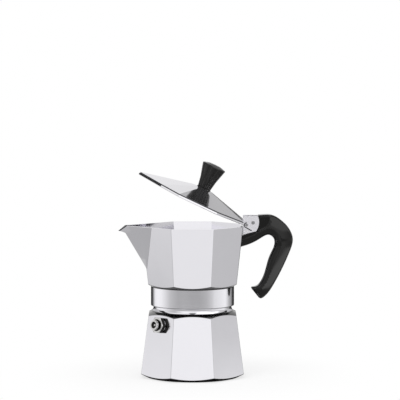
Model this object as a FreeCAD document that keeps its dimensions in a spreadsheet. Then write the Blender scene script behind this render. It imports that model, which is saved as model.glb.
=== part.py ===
import FreeCAD, Part
import math
import os
import Sketcher

# Three-cup octagonal moka pot, assembled on its base with the lid standing part open.
# Origin at the centre of the base, +Z up, spout towards -X, handle towards +X.

doc = FreeCAD.newDocument("MokaPot")

# Driving dimensions, in millimetres and degrees
driving = {
    # boiler
    "base_flats": 88.0,
    "shoulder_flats": 74.0,
    "shoulder_height": 55.0,
    "base_rest_dia": 80.4,
    "base_edge_angle": 28.0,
    "shoulder_angle": 27.0,
    "neck_foot_dia": 69.0,
    "neck_band_height": 3.9,
    "neck_band_step": 1.5,
    "neck_flare_round": 3.4,
    "neck_dia": 63.6,
    "thread_height": 7.4,
    "neck_edge": 0.6,
    "facet_round": 1.6,
    "boiler_wall": 3.0,
    "boiler_floor": 4.0,
    # safety valve
    "valve_height": 46.5,
    "valve_hex_flats": 12.5,
    "valve_hex_thick": 3.7,
    "valve_hex_bevel": 0.7,
    "valve_washer_dia": 11.6,
    "valve_washer_thick": 0.9,
    "valve_shank_dia": 8.0,
    "valve_shank_inside": 2.6,
    "valve_nipple_dia": 8.2,
    "valve_nipple_length": 3.4,
    "valve_bore_dia": 5.4,
    "valve_mouth_depth": 1.9,
    "valve_lip_thick": 0.9,
    "valve_seat_thick": 1.6,
    "valve_seat_hole": 2.6,
    "valve_pin_dia": 1.9,
    "valve_disc_thick": 1.2,
    "valve_travel": 1.2,
    "valve_fit": 0.05,
    "spring_wire": 0.5,
    "spring_turns": 5.0,
    # funnel and its strainer
    "funnel_dia": 56.2,
    "funnel_gap": 0.35,
    "funnel_wall": 0.9,
    "funnel_rim_dia": 58.4,
    "funnel_rim_thick": 1.3,
    "funnel_rim_gap": 0.3,
    "basket_depth": 22.0,
    "basket_ledge": 1.6,
    "basket_round": 2.6,
    "funnel_rim_round": 0.6,
    "stem_round": 4.0,
    "cone_drop": 8.7,
    "stem_dia": 10.6,
    "stem_clear": 6.0,
    "strainer_thick": 0.8,
    "strainer_gap": 0.15,
    "strainer_hole_dia": 2.0,
    "strainer_ring_step": 6.6,
    # gasket and filter plate
    "gasket_outer_dia": 57.4,
    "gasket_inner_dia": 43.0,
    "gasket_thick": 1.3,
    "gasket_round": 0.3,
    "plate_dia": 60.4,
    "plate_thick": 0.9,
    "plate_land": 5.0,
    "plate_raise": 1.2,
    "plate_hole_dia": 1.5,
    "plate_ring_step": 4.3,
    # collector
    "thread_gap": 0.4,
    "recess_gap": 0.3,
    "rim_gap": 0.4,
    "ring_clear": 0.8,
    "ring_dia": 71.0,
    "ring_height": 16.3,
    "foot_flats": 74.4,
    "foot_angle": 28.0,
    "rim_flats": 85.4,
    "collector_height": 51.5,
    "collector_wall": 2.4,
    "collector_floor": 2.6,
    "foot_skin": 1.3,
    "column_foot_dia": 17.0,
    "column_top_dia": 12.0,
    "column_height": 31.0,
    "column_bore": 7.0,
    "column_cap": 2.5,
    "column_slot_width": 3.0,
    "column_slot_height": 5.0,
    # spout
    "spout_root": 34.4,
    "spout_drop": 37.8,
    "spout_bend_drop": 28.0,
    "spout_bend_reach": 44.5,
    "spout_bend_root": 37.7,
    "spout_reach": 61.1,
    "lip_reach": 63.4,
    "lip_drop": 4.5,
    "lip_back": 57.4,
    "lip_throat": 1.9,
    "lip_skin": 1.0,
    "spout_foot_step": 0.2,
    "spout_foot_half": 2.0,
    # hinge lug
    "lug_width": 15.0,
    "lug_slot": 8.6,
    "lug_top": 8.4,
    "lug_length": 13.0,
    "lug_chin": 4.4,
    "lug_chin_back": 1.7,
    "lug_drop": 7.6,
    "lug_round": 13.6,
    "lug_web": 3.6,
    "lug_set": 0.5,
    "hinge_back": 3.2,
    "hinge_rise": 0.85,
    "hinge_pin_dia": 2.4,
    "hinge_fit": 0.05,
    "handle_pin_dia": 2.9,
    "handle_pin_back": 4.2,
    "handle_pin_drop": 5.6,
    "pin_proud": 0.35,
    "hook_radius": 2.0,
    "hook_width": 0.9,
    "hook_tail": 6.2,
    "hook_depth": 1.4,
    # lid and knob
    "lid_open": 25.3,
    "lid_gap": 0.3,
    "lid_band": 2.6,
    "lid_edge": 0.4,
    "lid_draft": 0.25,
    "lid_groove": 0.8,
    "lid_height": 12.6,
    "lid_wall": 1.8,
    "lid_tip": 55.5,
    "lid_top_flats": 15.0,
    "lid_notch_gap": 0.7,
    "knuckle_dia": 5.0,
    "knuckle_gap": 0.35,
    "knob_washer_dia": 12.4,
    "knob_washer_thick": 0.8,
    "knob_foot_dia": 11.6,
    "knob_top_dia": 20.8,
    "knob_height": 20.4,
    "knob_dome": 1.6,
    "knob_flute": 0.7,
    "knob_flute_share": 0.24,
    "knob_screw_dia": 4.0,
    "knob_screw_depth": 11.0,
    "knob_screw_head_dia": 7.6,
    "knob_screw_head": 2.2,
    "screw_fit": 0.05,
    "screw_hole_gap": 0.3,
    # handle
    "handle_width": 16.0,
    "handle_reach": 29.8,
    "handle_drop": 71.7,
    "handle_round": 4.6,
    "handle_gap": 0.15,
    "handle_proud": 0.7,
    "toe_round": 1.8,
    "cheek_depth": 2.0,
    "tongue_lean": 3.0,
}

# Places that follow from the driving dimensions
derived = {
    "slope": "=(Dim.base_flats - Dim.shoulder_flats) / 2 / Dim.shoulder_height",
    "shoulder_in": "=(Dim.shoulder_flats - Dim.neck_foot_dia) / 2",
    "shoulder_top": "=Dim.shoulder_height + shoulder_in * tan(Dim.shoulder_angle)",
    "band_top": "=shoulder_top + Dim.neck_band_height",
    "rim_z": "=band_top + Dim.thread_height",
    "neck_bore": "=Dim.funnel_dia / 2 + Dim.funnel_gap",
    "rim_seat": "=Dim.funnel_rim_dia / 2 + Dim.funnel_rim_gap",
    "flange_z": "=rim_z - Dim.funnel_rim_thick",
    "basket_z": "=rim_z - Dim.basket_depth",
    "cone_z": "=basket_z - Dim.cone_drop",
    "stem_z": "=Dim.boiler_floor + Dim.stem_clear",
    "basket_r": "=Dim.funnel_dia / 2 - Dim.funnel_wall",
    "gasket_z": "=rim_z",
    "plate_z": "=gasket_z + Dim.gasket_thick",
    "seat_z": "=plate_z + Dim.plate_thick",
    "recess_r": "=max(Dim.gasket_outer_dia; Dim.plate_dia) / 2 + Dim.recess_gap",
    "recess_z": "=rim_z + Dim.rim_gap",
    "thread_r": "=Dim.neck_dia / 2 + Dim.thread_gap",
    "ring_z": "=band_top + Dim.ring_clear",
    "ring_top": "=ring_z + Dim.ring_height",
    "foot_rise": "=(Dim.foot_flats / cos(22.5) - Dim.ring_dia) / 2 * tan(Dim.foot_angle)",
    "floor_z": "=ring_top + max(foot_rise; 0) + Dim.foot_skin",
    "dome_z": "=floor_z - Dim.collector_floor",
    "column_z": "=floor_z + Dim.column_height",
    "lip_z": "=ring_top + Dim.collector_height",
    "rim_x": "=Dim.rim_flats / 2",
    "flare": "=(Dim.rim_flats - Dim.foot_flats) / 2 / Dim.collector_height",
    "rim_sum": "=rim_x * (1 + tan(22.5))",
    "lug_z": "=lip_z + Dim.lug_top",
    "lug_x": "=rim_x + Dim.lug_length",
    "pivot_x": "=rim_x + Dim.hinge_back",
    "pivot_z": "=lip_z + Dim.hinge_rise",
    "lid_z": "=lip_z + Dim.lid_gap",
    "lid_top_z": "=lid_z + Dim.lid_height",
    "knob_z": "=lid_top_z + Dim.knob_washer_thick",
    "handle_pin_x": "=lug_x - Dim.handle_pin_back",
    "handle_pin_z": "=lug_z - Dim.handle_pin_drop",
    "valve_r": "=Dim.base_flats / 2 - slope * Dim.valve_height",
}


def fill_sheet(name, cells):
    sheet = doc.addObject("Spreadsheet::Sheet", name)
    for row, (alias, content) in enumerate(cells.items(), start=1):
        sheet.set(f"A{row}", alias)
        sheet.set(f"B{row}", str(content))
        sheet.setAlias(f"B{row}", alias)
    doc.recompute()
    return sheet


dim = fill_sheet("Dim", driving)
at = fill_sheet("At", derived)


def mm(expression):
    return float(dim.evalExpression(expression))


def new_body(name):
    body = doc.addObject("PartDesign::Body", name)
    body.Label = name
    return body


def new_sketch(body, name, role="XZ_Plane", lift=None):
    # Sketch on one of the body's own origin planes, raised by an expression if one is given
    plane = next(f for f in body.Origin.OriginFeatures if f.Role == role)
    sketch = body.newObject("Sketcher::SketchObject", name)
    sketch.AttachmentSupport = [(plane, "")]
    sketch.MapMode = "FlatFace"
    if lift:
        sketch.setExpression("AttachmentOffset.Base.z", lift)
    return sketch


def tie(sketch, constraint, expression):
    index = sketch.addConstraint(constraint)
    sketch.setExpression(f"Constraints[{index}]", expression)


def tie_point(sketch, edge, position, point):
    for kind, expression in zip(("DistanceX", "DistanceY"), point):
        tie(sketch, Sketcher.Constraint(kind, -1, 1, edge, position, mm(expression)), expression)


def outline(body, name, points, role="XZ_Plane", lift=None):
    # Closed chain of straight lines through points given as pairs of expressions
    sketch = new_sketch(body, name, role, lift)
    count = len(points)
    corners = [FreeCAD.Vector(mm(x), mm(y), 0) for x, y in points]
    sketch.addGeometry([Part.LineSegment(corners[i], corners[(i + 1) % count]) for i in range(count)])
    for i in range(count):
        sketch.addConstraint(Sketcher.Constraint("Coincident", i, 2, (i + 1) % count, 1))
    for i, point in enumerate(points):
        tie_point(sketch, i, 1, point)
    return sketch


def circle(body, name, centre, radius, role="XZ_Plane", lift=None):
    sketch = new_sketch(body, name, role, lift)
    middle = FreeCAD.Vector(mm(centre[0]), mm(centre[1]), 0)
    sketch.addGeometry(Part.Circle(middle, FreeCAD.Vector(0, 0, 1), mm(radius)))
    tie_point(sketch, 0, 3, centre)
    tie(sketch, Sketcher.Constraint("Radius", 0, mm(radius)), radius)
    return sketch


def octagon(body, name, half_flats, lift):
    # Regular octagon with flats facing X and Y
    a = f"({half_flats})"
    b = f"({half_flats}) * tan(22.5)"
    na = f"-1 * {a}"
    nb = f"-1 * {b}"
    points = [(a, nb), (a, b), (b, a), (nb, a), (na, b), (na, nb), (nb, na), (b, na)]
    return outline(body, name, points, "XY_Plane", lift)


def soft_octagon(body, name, half_flats, corner, lift):
    # Octagon with rounded corners: line k on the flat that faces 45 k degrees, then its corner arc
    sketch = new_sketch(body, name, "XY_Plane", lift)
    half_side = f"((({half_flats}) - {corner}) * tan(22.5))"
    radius = mm(corner)
    middle = (mm(half_flats) - radius) / math.cos(math.radians(22.5))
    ends = []
    for k in range(8):
        ends.append([(f"({half_flats}) * cos({45 * k}) - {sign} * {half_side} * sin({45 * k})",
                      f"({half_flats}) * sin({45 * k}) + {sign} * {half_side} * cos({45 * k})")
                     for sign in (-1, 1)])
    for k in range(8):
        start, end = [FreeCAD.Vector(mm(x), mm(y), 0) for x, y in ends[k]]
        turn = math.radians(45 * k + 22.5)
        centre = FreeCAD.Vector(middle * math.cos(turn), middle * math.sin(turn), 0)
        ring = Part.Circle(centre, FreeCAD.Vector(0, 0, 1), radius)
        sketch.addGeometry(Part.LineSegment(start, end))
        sketch.addGeometry(Part.ArcOfCircle(ring, math.radians(45 * k), math.radians(45 * k + 45)))
    for k in range(8):
        sketch.addConstraint(Sketcher.Constraint("Coincident", 2 * k, 2, 2 * k + 1, 1))
        sketch.addConstraint(Sketcher.Constraint("Coincident", 2 * k + 1, 2, (2 * k + 2) % 16, 1))
        tie_point(sketch, 2 * k, 1, ends[k][0])
        tie_point(sketch, 2 * k, 2, ends[k][1])
        tie(sketch, Sketcher.Constraint("Radius", 2 * k + 1, radius), corner)
    return sketch


def feature(body, kind, name, sketch):
    made = body.newObject(f"PartDesign::{kind}", name)
    made.Profile = sketch
    return made


def revolve(body, name, points, kind="Revolution"):
    sketch = outline(body, name + "_profile", points)
    made = feature(body, kind, name, sketch)
    made.ReferenceAxis = (sketch, ["V_Axis"])
    made.Angle = 360
    doc.recompute()
    return made


def loft(body, name, sections, kind="AdditiveLoft"):
    made = feature(body, kind, name, sections[0])
    made.Sections = sections[1:]
    made.Ruled = True
    doc.recompute()
    return made


def across(body, name, sketch, width, kind="Pad"):
    # Pad or pocket centred on the sketch plane
    made = feature(body, kind, name, sketch)
    made.Midplane = True
    made.setExpression("Length", width)
    doc.recompute()
    return made


def soften(body, name, radius, rings):
    # Fillet on the turned edges that lie at the given radii and heights
    tip = body.Tip
    wanted = [(mm(across_r), mm(z)) for across_r, z in rings]
    picked = []
    for number, edge in enumerate(tip.Shape.Edges, start=1):
        curve = edge.Curve
        if curve.TypeId != "Part::GeomCircle":
            continue
        if any(abs(curve.Radius - r) + abs(curve.Center.z - z) < 0.01 for r, z in wanted):
            picked.append(f"Edge{number}")
    made = body.newObject("PartDesign::Fillet", name)
    made.Base = (tip, picked)
    made.setExpression("Radius", radius)
    doc.recompute()
    return made


def pattern(body, name, original, count):
    # Copies of a feature round the Z axis
    axis = next(f for f in body.Origin.OriginFeatures if f.Role == "Z_Axis")
    made = body.newObject("PartDesign::PolarPattern", name)
    made.Originals = [original]
    made.Axis = (axis, [""])
    made.Angle = 360
    made.Occurrences = count
    body.Tip = made
    doc.recompute()
    return made


def hole_rings(body, name, hole_dia, step, counts, lift):
    # Rings of round holes, the rings a step apart
    for ring, count in enumerate(counts, start=1):
        centre = (f"{ring} * {step}", "0")
        sketch = circle(body, f"{name}_{ring}", centre, f"{hole_dia} / 2", "XY_Plane", lift)
        hole = feature(body, "Pocket", f"{name}_hole_{ring}", sketch)
        hole.Midplane = True
        hole.Type = "ThroughAll"
        doc.recompute()
        pattern(body, f"{name}_ring_{ring}", hole, count)


def placed(item, placement):
    # The placement is an expression, so the piece follows the sheets
    item.setExpression("Placement", placement)
    return item


def placement(x, y, z, turn="create(<<rotation>>; 0 deg; 0 deg; 0 deg)", centre=None):
    base = f"create(<<vector>>; {x}; {y}; {z})"
    about = f"; create(<<vector>>; {'; '.join(centre)})" if centre else ""
    return f"create(<<placement>>; {base}; {turn}{about})"


# Boiler: tapered octagon, turned base edge, shoulder and neck, turned hollow
def make_boiler(valve_frame):
    body = new_body("boiler_casting")
    top = "At.rim_z"
    top_half = "Dim.base_flats / 2 - At.slope * At.rim_z"
    loft(body, "facets", [
        soft_octagon(body, "base_octagon", "Dim.base_flats / 2", "Dim.facet_round", "0"),
        soft_octagon(body, "top_octagon", top_half, "Dim.facet_round", top),
    ])
    wide = "Dim.base_flats"
    revolve(body, "base_edge", [
        ("Dim.base_rest_dia / 2", "0"),
        (wide, "0"),
        (wide, f"({wide} - Dim.base_rest_dia / 2) * tan(Dim.base_edge_angle)"),
    ], "Groove")
    revolve(body, "shoulder", [
        ("Dim.neck_foot_dia / 2", "At.shoulder_top"),
        (wide, f"At.shoulder_top - ({wide} - Dim.neck_foot_dia / 2) * tan(Dim.shoulder_angle)"),
        (wide, f"{top} + Dim.neck_edge"),
        ("0", f"{top} + Dim.neck_edge"),
        ("0", "At.shoulder_top"),
    ], "Groove")
    revolve(body, "neck", [
        ("0", "At.shoulder_top - Dim.boiler_wall"),
        ("Dim.neck_foot_dia / 2", "At.shoulder_top - Dim.boiler_wall"),
        ("Dim.neck_foot_dia / 2", "At.shoulder_top"),
        ("Dim.neck_dia / 2 + Dim.neck_band_step", "At.shoulder_top + Dim.neck_band_height / 2"),
        ("Dim.neck_dia / 2 + Dim.neck_band_step", "At.band_top"),
        ("Dim.neck_dia / 2", "At.band_top"),
        ("Dim.neck_dia / 2", f"{top} - Dim.neck_edge"),
        ("Dim.neck_dia / 2 - Dim.neck_edge", top),
        ("0", top),
    ])
    revolve(body, "hollow", [
        ("0", "Dim.boiler_floor"),
        ("Dim.base_flats / 2 - At.slope * Dim.boiler_floor - Dim.boiler_wall * 2", "Dim.boiler_floor"),
        ("Dim.base_flats / 2 - At.slope * (Dim.boiler_floor + Dim.boiler_wall) - Dim.boiler_wall",
         "Dim.boiler_floor + Dim.boiler_wall"),
        ("Dim.shoulder_flats / 2 - Dim.boiler_wall", "Dim.shoulder_height - Dim.boiler_wall"),
        ("At.neck_bore", "At.shoulder_top"),
        ("At.neck_bore", "At.flange_z"),
        ("At.rim_seat", "At.flange_z"),
        ("At.rim_seat", f"{top} + Dim.neck_edge"),
        ("0", f"{top} + Dim.neck_edge"),
    ], "Groove")
    soften(body, "neck_flare", "Dim.neck_flare_round", [
        ("Dim.neck_foot_dia / 2", "At.shoulder_top"),
        ("Dim.neck_dia / 2 + Dim.neck_band_step", "At.shoulder_top + Dim.neck_band_height / 2")])
    drill = doc.addObject("Part::Cylinder", "valve_drill")
    drill.setExpression("Radius", "Dim.valve_shank_dia / 2 + Dim.valve_fit")
    drill.setExpression("Height", "Dim.boiler_wall * 4")
    placed(drill, f"{valve_frame} * {placement('0 mm', '0 mm', '-2 mm * Dim.boiler_wall')}")
    boiler = doc.addObject("Part::Cut", "boiler")
    boiler.Base = body
    boiler.Tool = drill
    return boiler


# Safety valve, drawn with its axis on Z and the boiler's facet at zero
def make_valve(frame):
    inner_end = "(0 - Dim.boiler_wall - Dim.valve_shank_inside)"
    hex_z = "Dim.valve_washer_thick"
    hex_top = "(Dim.valve_washer_thick + Dim.valve_hex_thick)"
    mouth = f"({hex_top} + Dim.valve_nipple_length)"
    lip_top = f"({mouth} - Dim.valve_mouth_depth)"
    lip_low = f"({lip_top} - Dim.valve_lip_thick)"
    seat_top = f"({inner_end} + Dim.valve_seat_thick)"
    pin_r = "Dim.valve_pin_dia / 2"
    bore_r = "Dim.valve_bore_dia / 2"
    washer = new_body("valve_washer")
    revolve(washer, "disc", [
        ("Dim.valve_shank_dia / 2 + Dim.valve_fit", "0"),
        ("Dim.valve_washer_dia / 2", "0"),
        ("Dim.valve_washer_dia / 2", hex_z),
        ("Dim.valve_shank_dia / 2 + Dim.valve_fit", hex_z),
    ])
    body = new_body("valve_body")
    half = "(Dim.valve_hex_flats / 2)"
    corner = f"{half} / cos(30)"
    short = f"{half} * tan(30)"
    hexagon = outline(body, "hexagon", [
        (f"-1 * {short}", f"-1 * {half}"),
        (short, f"-1 * {half}"),
        (corner, "0"),
        (short, half),
        (f"-1 * {short}", half),
        (f"-1 * {corner}", "0"),
    ], "XY_Plane", hex_z)
    pad = feature(body, "Pad", "hex_head", hexagon)
    pad.setExpression("Length", "Dim.valve_hex_thick")
    doc.recompute()
    revolve(body, "hex_bevel", [
        (f"{half} - Dim.valve_fit", hex_top),
        (f"{half} * 2", hex_top),
        (f"{half} * 2", f"{hex_top} - ({half} + Dim.valve_fit) * Dim.valve_hex_bevel"),
    ], "Groove")
    revolve(body, "barrel", [
        ("0", inner_end),
        ("Dim.valve_shank_dia / 2", inner_end),
        ("Dim.valve_shank_dia / 2", f"{hex_top} - Dim.valve_hex_bevel"),
        ("Dim.valve_nipple_dia / 2", hex_top),
        ("Dim.valve_nipple_dia / 2", mouth),
        ("0", mouth),
    ])
    revolve(body, "bore", [
        ("0", inner_end),
        (bore_r, inner_end),
        (bore_r, lip_low),
        (f"{pin_r} + Dim.valve_fit * 6", lip_low),
        (f"{pin_r} + Dim.valve_fit * 6", lip_top),
        (f"{bore_r} + Dim.valve_fit * 4", lip_top),
        (f"{bore_r} + Dim.valve_fit * 4", mouth),
        ("0", mouth),
    ], "Groove")
    seat = new_body("valve_seat")
    revolve(seat, "bush", [
        ("Dim.valve_seat_hole / 2", inner_end),
        (f"{bore_r} - Dim.valve_fit", inner_end),
        (f"{bore_r} - Dim.valve_fit", seat_top),
        ("Dim.valve_seat_hole / 2", seat_top),
    ])
    stem = new_body("valve_stem")
    disc_top = f"({seat_top} + Dim.valve_disc_thick)"
    revolve(stem, "plunger", [
        ("0", seat_top),
        (f"{bore_r} - Dim.valve_fit * 6", seat_top),
        (f"{bore_r} - Dim.valve_fit * 6", disc_top),
        (pin_r, disc_top),
        (pin_r, f"{mouth} - {pin_r} * 1.2"),
        (f"{pin_r} * 0.5", f"{mouth} - {pin_r} * 0.8"),
        ("0", f"{mouth} - {pin_r} * 0.8"),
    ])
    spring = doc.addObject("Part::Feature", "valve_spring")
    wire = mm("Dim.spring_wire")
    low = mm(disc_top) + wire * 0.6
    high = mm(lip_low) - wire * 0.6
    radius = (mm(bore_r) + mm(pin_r)) / 2
    helix = Part.makeHelix((high - low) / mm("Dim.spring_turns"), high - low, radius)
    section = Part.Wire(Part.makeCircle(wire / 2, FreeCAD.Vector(radius, 0, 0), FreeCAD.Vector(0, 1, 0)))
    spring.Shape = Part.Wire(helix).makePipeShell([section], True, True)
    placed(spring, f"{frame} * {placement('0 mm', '0 mm', f'1 mm * ({disc_top} + Dim.spring_wire * 0.6)')}")
    return [placed(item, frame) for item in (washer, body, seat, stem)] + [spring]


# Coffee funnel: rim resting in the boiler's neck, basket, cone and stem
def make_funnel():
    funnel = new_body("funnel")
    outer = "Dim.funnel_dia / 2"
    stem = "Dim.stem_dia / 2"
    ledge_z = "(At.basket_z + Dim.funnel_wall)"
    revolve(funnel, "spun_wall", [
        ("Dim.funnel_rim_dia / 2", "At.rim_z"),
        ("Dim.funnel_rim_dia / 2", "At.flange_z"),
        (outer, "At.flange_z"),
        (outer, "At.basket_z"),
        (stem, "At.cone_z"),
        (stem, "At.stem_z"),
        (f"{stem} - Dim.funnel_wall", "At.stem_z"),
        (f"{stem} - Dim.funnel_wall", "At.cone_z + Dim.funnel_wall / 2"),
        ("At.basket_r - Dim.basket_ledge", ledge_z),
        ("At.basket_r", ledge_z),
        ("At.basket_r", "At.rim_z"),
    ])
    soften(funnel, "basket_corner", "Dim.basket_round", [(outer, "At.basket_z")])
    soften(funnel, "stem_throat", "Dim.stem_round", [
        (stem, "At.cone_z"), (f"{stem} - Dim.funnel_wall", "At.cone_z + Dim.funnel_wall / 2")])
    soften(funnel, "rim_bead", "Dim.funnel_rim_round", [
        ("Dim.funnel_rim_dia / 2", "At.rim_z"), ("Dim.funnel_rim_dia / 2", "At.flange_z")])
    strainer = new_body("funnel_strainer")
    disc = feature(strainer, "Pad", "disc", circle(
        strainer, "disc_edge", ("0", "0"), "At.basket_r - Dim.strainer_gap", "XY_Plane", ledge_z))
    disc.setExpression("Length", "Dim.strainer_thick")
    doc.recompute()
    hole_rings(strainer, "holes", "Dim.strainer_hole_dia", "Dim.strainer_ring_step", (6, 12, 18), ledge_z)
    return [funnel, strainer]


def make_seals():
    gasket = new_body("gasket")
    revolve(gasket, "ring", [
        ("Dim.gasket_inner_dia / 2", "At.gasket_z"),
        ("Dim.gasket_outer_dia / 2", "At.gasket_z"),
        ("Dim.gasket_outer_dia / 2", "At.plate_z"),
        ("Dim.gasket_inner_dia / 2", "At.plate_z"),
    ])
    soften(gasket, "edges", "Dim.gasket_round", [
        (f"Dim.gasket_{side}_dia / 2", z)
        for side in ("inner", "outer")
        for z in ("At.gasket_z", "At.plate_z")])
    plate = new_body("filter_plate")
    land = "(Dim.plate_dia / 2 - Dim.plate_land)"
    crown = f"({land} - Dim.plate_raise * 1.5)"
    revolve(plate, "dish", [
        ("0", "At.plate_z + Dim.plate_raise"),
        (crown, "At.plate_z + Dim.plate_raise"),
        (land, "At.plate_z"),
        ("Dim.plate_dia / 2", "At.plate_z"),
        ("Dim.plate_dia / 2", "At.seat_z"),
        (land, "At.seat_z"),
        (crown, "At.seat_z + Dim.plate_raise"),
        ("0", "At.seat_z + Dim.plate_raise"),
    ])
    hole_rings(plate, "holes", "Dim.plate_hole_dia", "Dim.plate_ring_step", (6, 12, 18, 24, 30),
               "At.plate_z")
    return [gasket, plate]


def spout_section(body, name, drop, reach, root, nose, inset, half=None):
    # Half-open V in plan: nose on the X axis, cheeks a quarter of the way back, roots on the facets
    deep = f"({drop})"
    sum_here = f"(At.rim_sum - At.flare * {deep} * (1 + tan(22.5)))"
    half = half or f"({sum_here} - ({root}))"
    tip = f"-1 * ({nose} - {inset} * 1.4)"
    cheek_x = f"-1 * ({reach} - ({reach} - ({root})) / 4 - {inset})"
    cheek_y = f"({half} / 4 - {inset} / 2)"
    root_x = f"-1 * ({root} - {inset})"
    root_y = f"({half} - {inset})"
    back = f"-1 * ({root}) / 3"
    points = [
        (tip, "0"),
        (cheek_x, cheek_y),
        (root_x, root_y),
        (back, root_y),
        (back, f"-1 * {root_y}"),
        (root_x, f"-1 * {root_y}"),
        (cheek_x, f"-1 * {cheek_y}"),
    ]
    return outline(body, name, points, "XY_Plane", f"At.lip_z - {deep}")


def spout_loft(body, name, kind, inset):
    # The keel rises straight from a point on the wall, then turns out to the pouring lip
    rise = "(Dim.spout_reach - Dim.spout_bend_reach) / Dim.spout_bend_drop"
    roots = "(Dim.spout_bend_root - Dim.spout_root) / Dim.spout_bend_drop"
    skin = "0" if inset == "0" else "Dim.lip_skin"
    throat = f"(Dim.lip_drop + Dim.lip_throat - {skin})"
    turn = f"(Dim.lip_drop + Dim.lip_throat / 3 - {skin})"
    straight = f"(Dim.spout_reach - {rise} * (Dim.lip_drop + Dim.lip_throat))"
    stations = [("Dim.spout_bend_drop", None), (throat, None),
                (turn, f"({straight} + (Dim.lip_reach - {straight}) * 0.55)"),
                (f"(Dim.lip_drop - {skin})", "Dim.lip_reach"),
                ("0", "Dim.lip_reach + Dim.lip_drop / 3")]
    sections = []
    if inset == "0":
        wall_x = "(At.rim_x - At.flare * Dim.spout_drop)"
        foot_reach = f"({wall_x} + Dim.spout_foot_step)"
        foot_root = f"({wall_x} - Dim.spout_foot_step * 2)"
        sections.append(spout_section(body, f"{name}_foot", "Dim.spout_drop", foot_reach, foot_root,
                                      foot_reach, inset, "Dim.spout_foot_half"))
    for number, (drop, nose) in enumerate(stations):
        reach = f"(Dim.spout_reach - {rise} * {drop})"
        root = f"(Dim.spout_root + {roots} * {drop})"
        sections.append(spout_section(body, f"{name}_{number}", drop, reach, root, nose or reach, inset))
    return loft(body, name, sections, kind)


# Collector: flared octagon with the spout, turned ring and floor, riser column and hinge lug
def make_collector():
    body = new_body("collector")
    inner = "Dim.collector_wall"
    loft(body, "facets", [
        soft_octagon(body, "foot_octagon", "Dim.foot_flats / 2", "Dim.facet_round", "At.ring_top"),
        soft_octagon(body, "rim_octagon", "At.rim_x", "Dim.facet_round", "At.lip_z"),
    ])
    spout_loft(body, "spout", "AdditiveLoft", "0")
    loft(body, "hollow", [
        octagon(body, "floor_octagon",
                f"Dim.foot_flats / 2 + At.flare * (At.floor_z - At.ring_top) - {inner}", "At.floor_z"),
        octagon(body, "mouth_octagon", f"At.rim_x - {inner}", "At.lip_z"),
    ], "SubtractiveLoft")
    spout_loft(body, "spout_channel", "SubtractiveLoft", inner)
    ring_r = "Dim.ring_dia / 2"
    wide = "Dim.foot_flats"
    crown_r = "Dim.plate_dia / 2 - Dim.plate_land + Dim.recess_gap"
    revolve(body, "foot_edge", [
        (ring_r, "At.ring_top"),
        (wide, "At.ring_top"),
        (wide, f"At.ring_top + ({wide} - {ring_r}) * tan(Dim.foot_angle)"),
    ], "Groove")
    revolve(body, "ring_and_column", [
        ("At.thread_r", "At.ring_z"),
        (ring_r, "At.ring_z"),
        (ring_r, "At.ring_top + Dim.ring_height / 20"),
        (f"{ring_r} - Dim.collector_wall", "At.floor_z"),
        ("Dim.column_foot_dia / 2", "At.floor_z"),
        ("Dim.column_top_dia / 2", "At.column_z"),
        ("0", "At.column_z"),
        ("0", "At.column_z - Dim.column_cap"),
        ("Dim.column_bore / 2", "At.column_z - Dim.column_cap"),
        ("Dim.column_bore / 2", "At.dome_z"),
        (crown_r, "At.seat_z + Dim.plate_raise + Dim.recess_gap"),
        (crown_r, "At.seat_z"),
        ("At.recess_r", "At.seat_z"),
        ("At.recess_r", "At.recess_z"),
        ("At.thread_r", "At.recess_z"),
    ])
    slot_top = "At.column_z - Dim.column_cap"
    slot = outline(body, "outlet", [
        ("-1 * Dim.column_slot_width / 2", f"{slot_top} - Dim.column_slot_height"),
        ("Dim.column_slot_width / 2", f"{slot_top} - Dim.column_slot_height"),
        ("Dim.column_slot_width / 2", slot_top),
        ("-1 * Dim.column_slot_width / 2", slot_top),
    ])
    across(body, "outlets", slot, "Dim.column_foot_dia", "Pocket")
    lip_cut = outline(body, "lip_slant", [
        ("-1 * Dim.lip_reach", "At.lip_z - Dim.lip_drop"),
        ("-1 * Dim.lip_back", "At.lip_z"),
        ("-1 * Dim.lip_back", "At.lip_z + Dim.lip_drop"),
        ("-1 * Dim.lip_reach * 1.2", "At.lip_z + Dim.lip_drop"),
        ("-1 * Dim.lip_reach * 1.2", "At.lip_z - Dim.lip_drop"),
    ])
    across(body, "pouring_edge", lip_cut, "Dim.rim_flats", "Pocket")
    make_lug(body)
    return body


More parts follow.
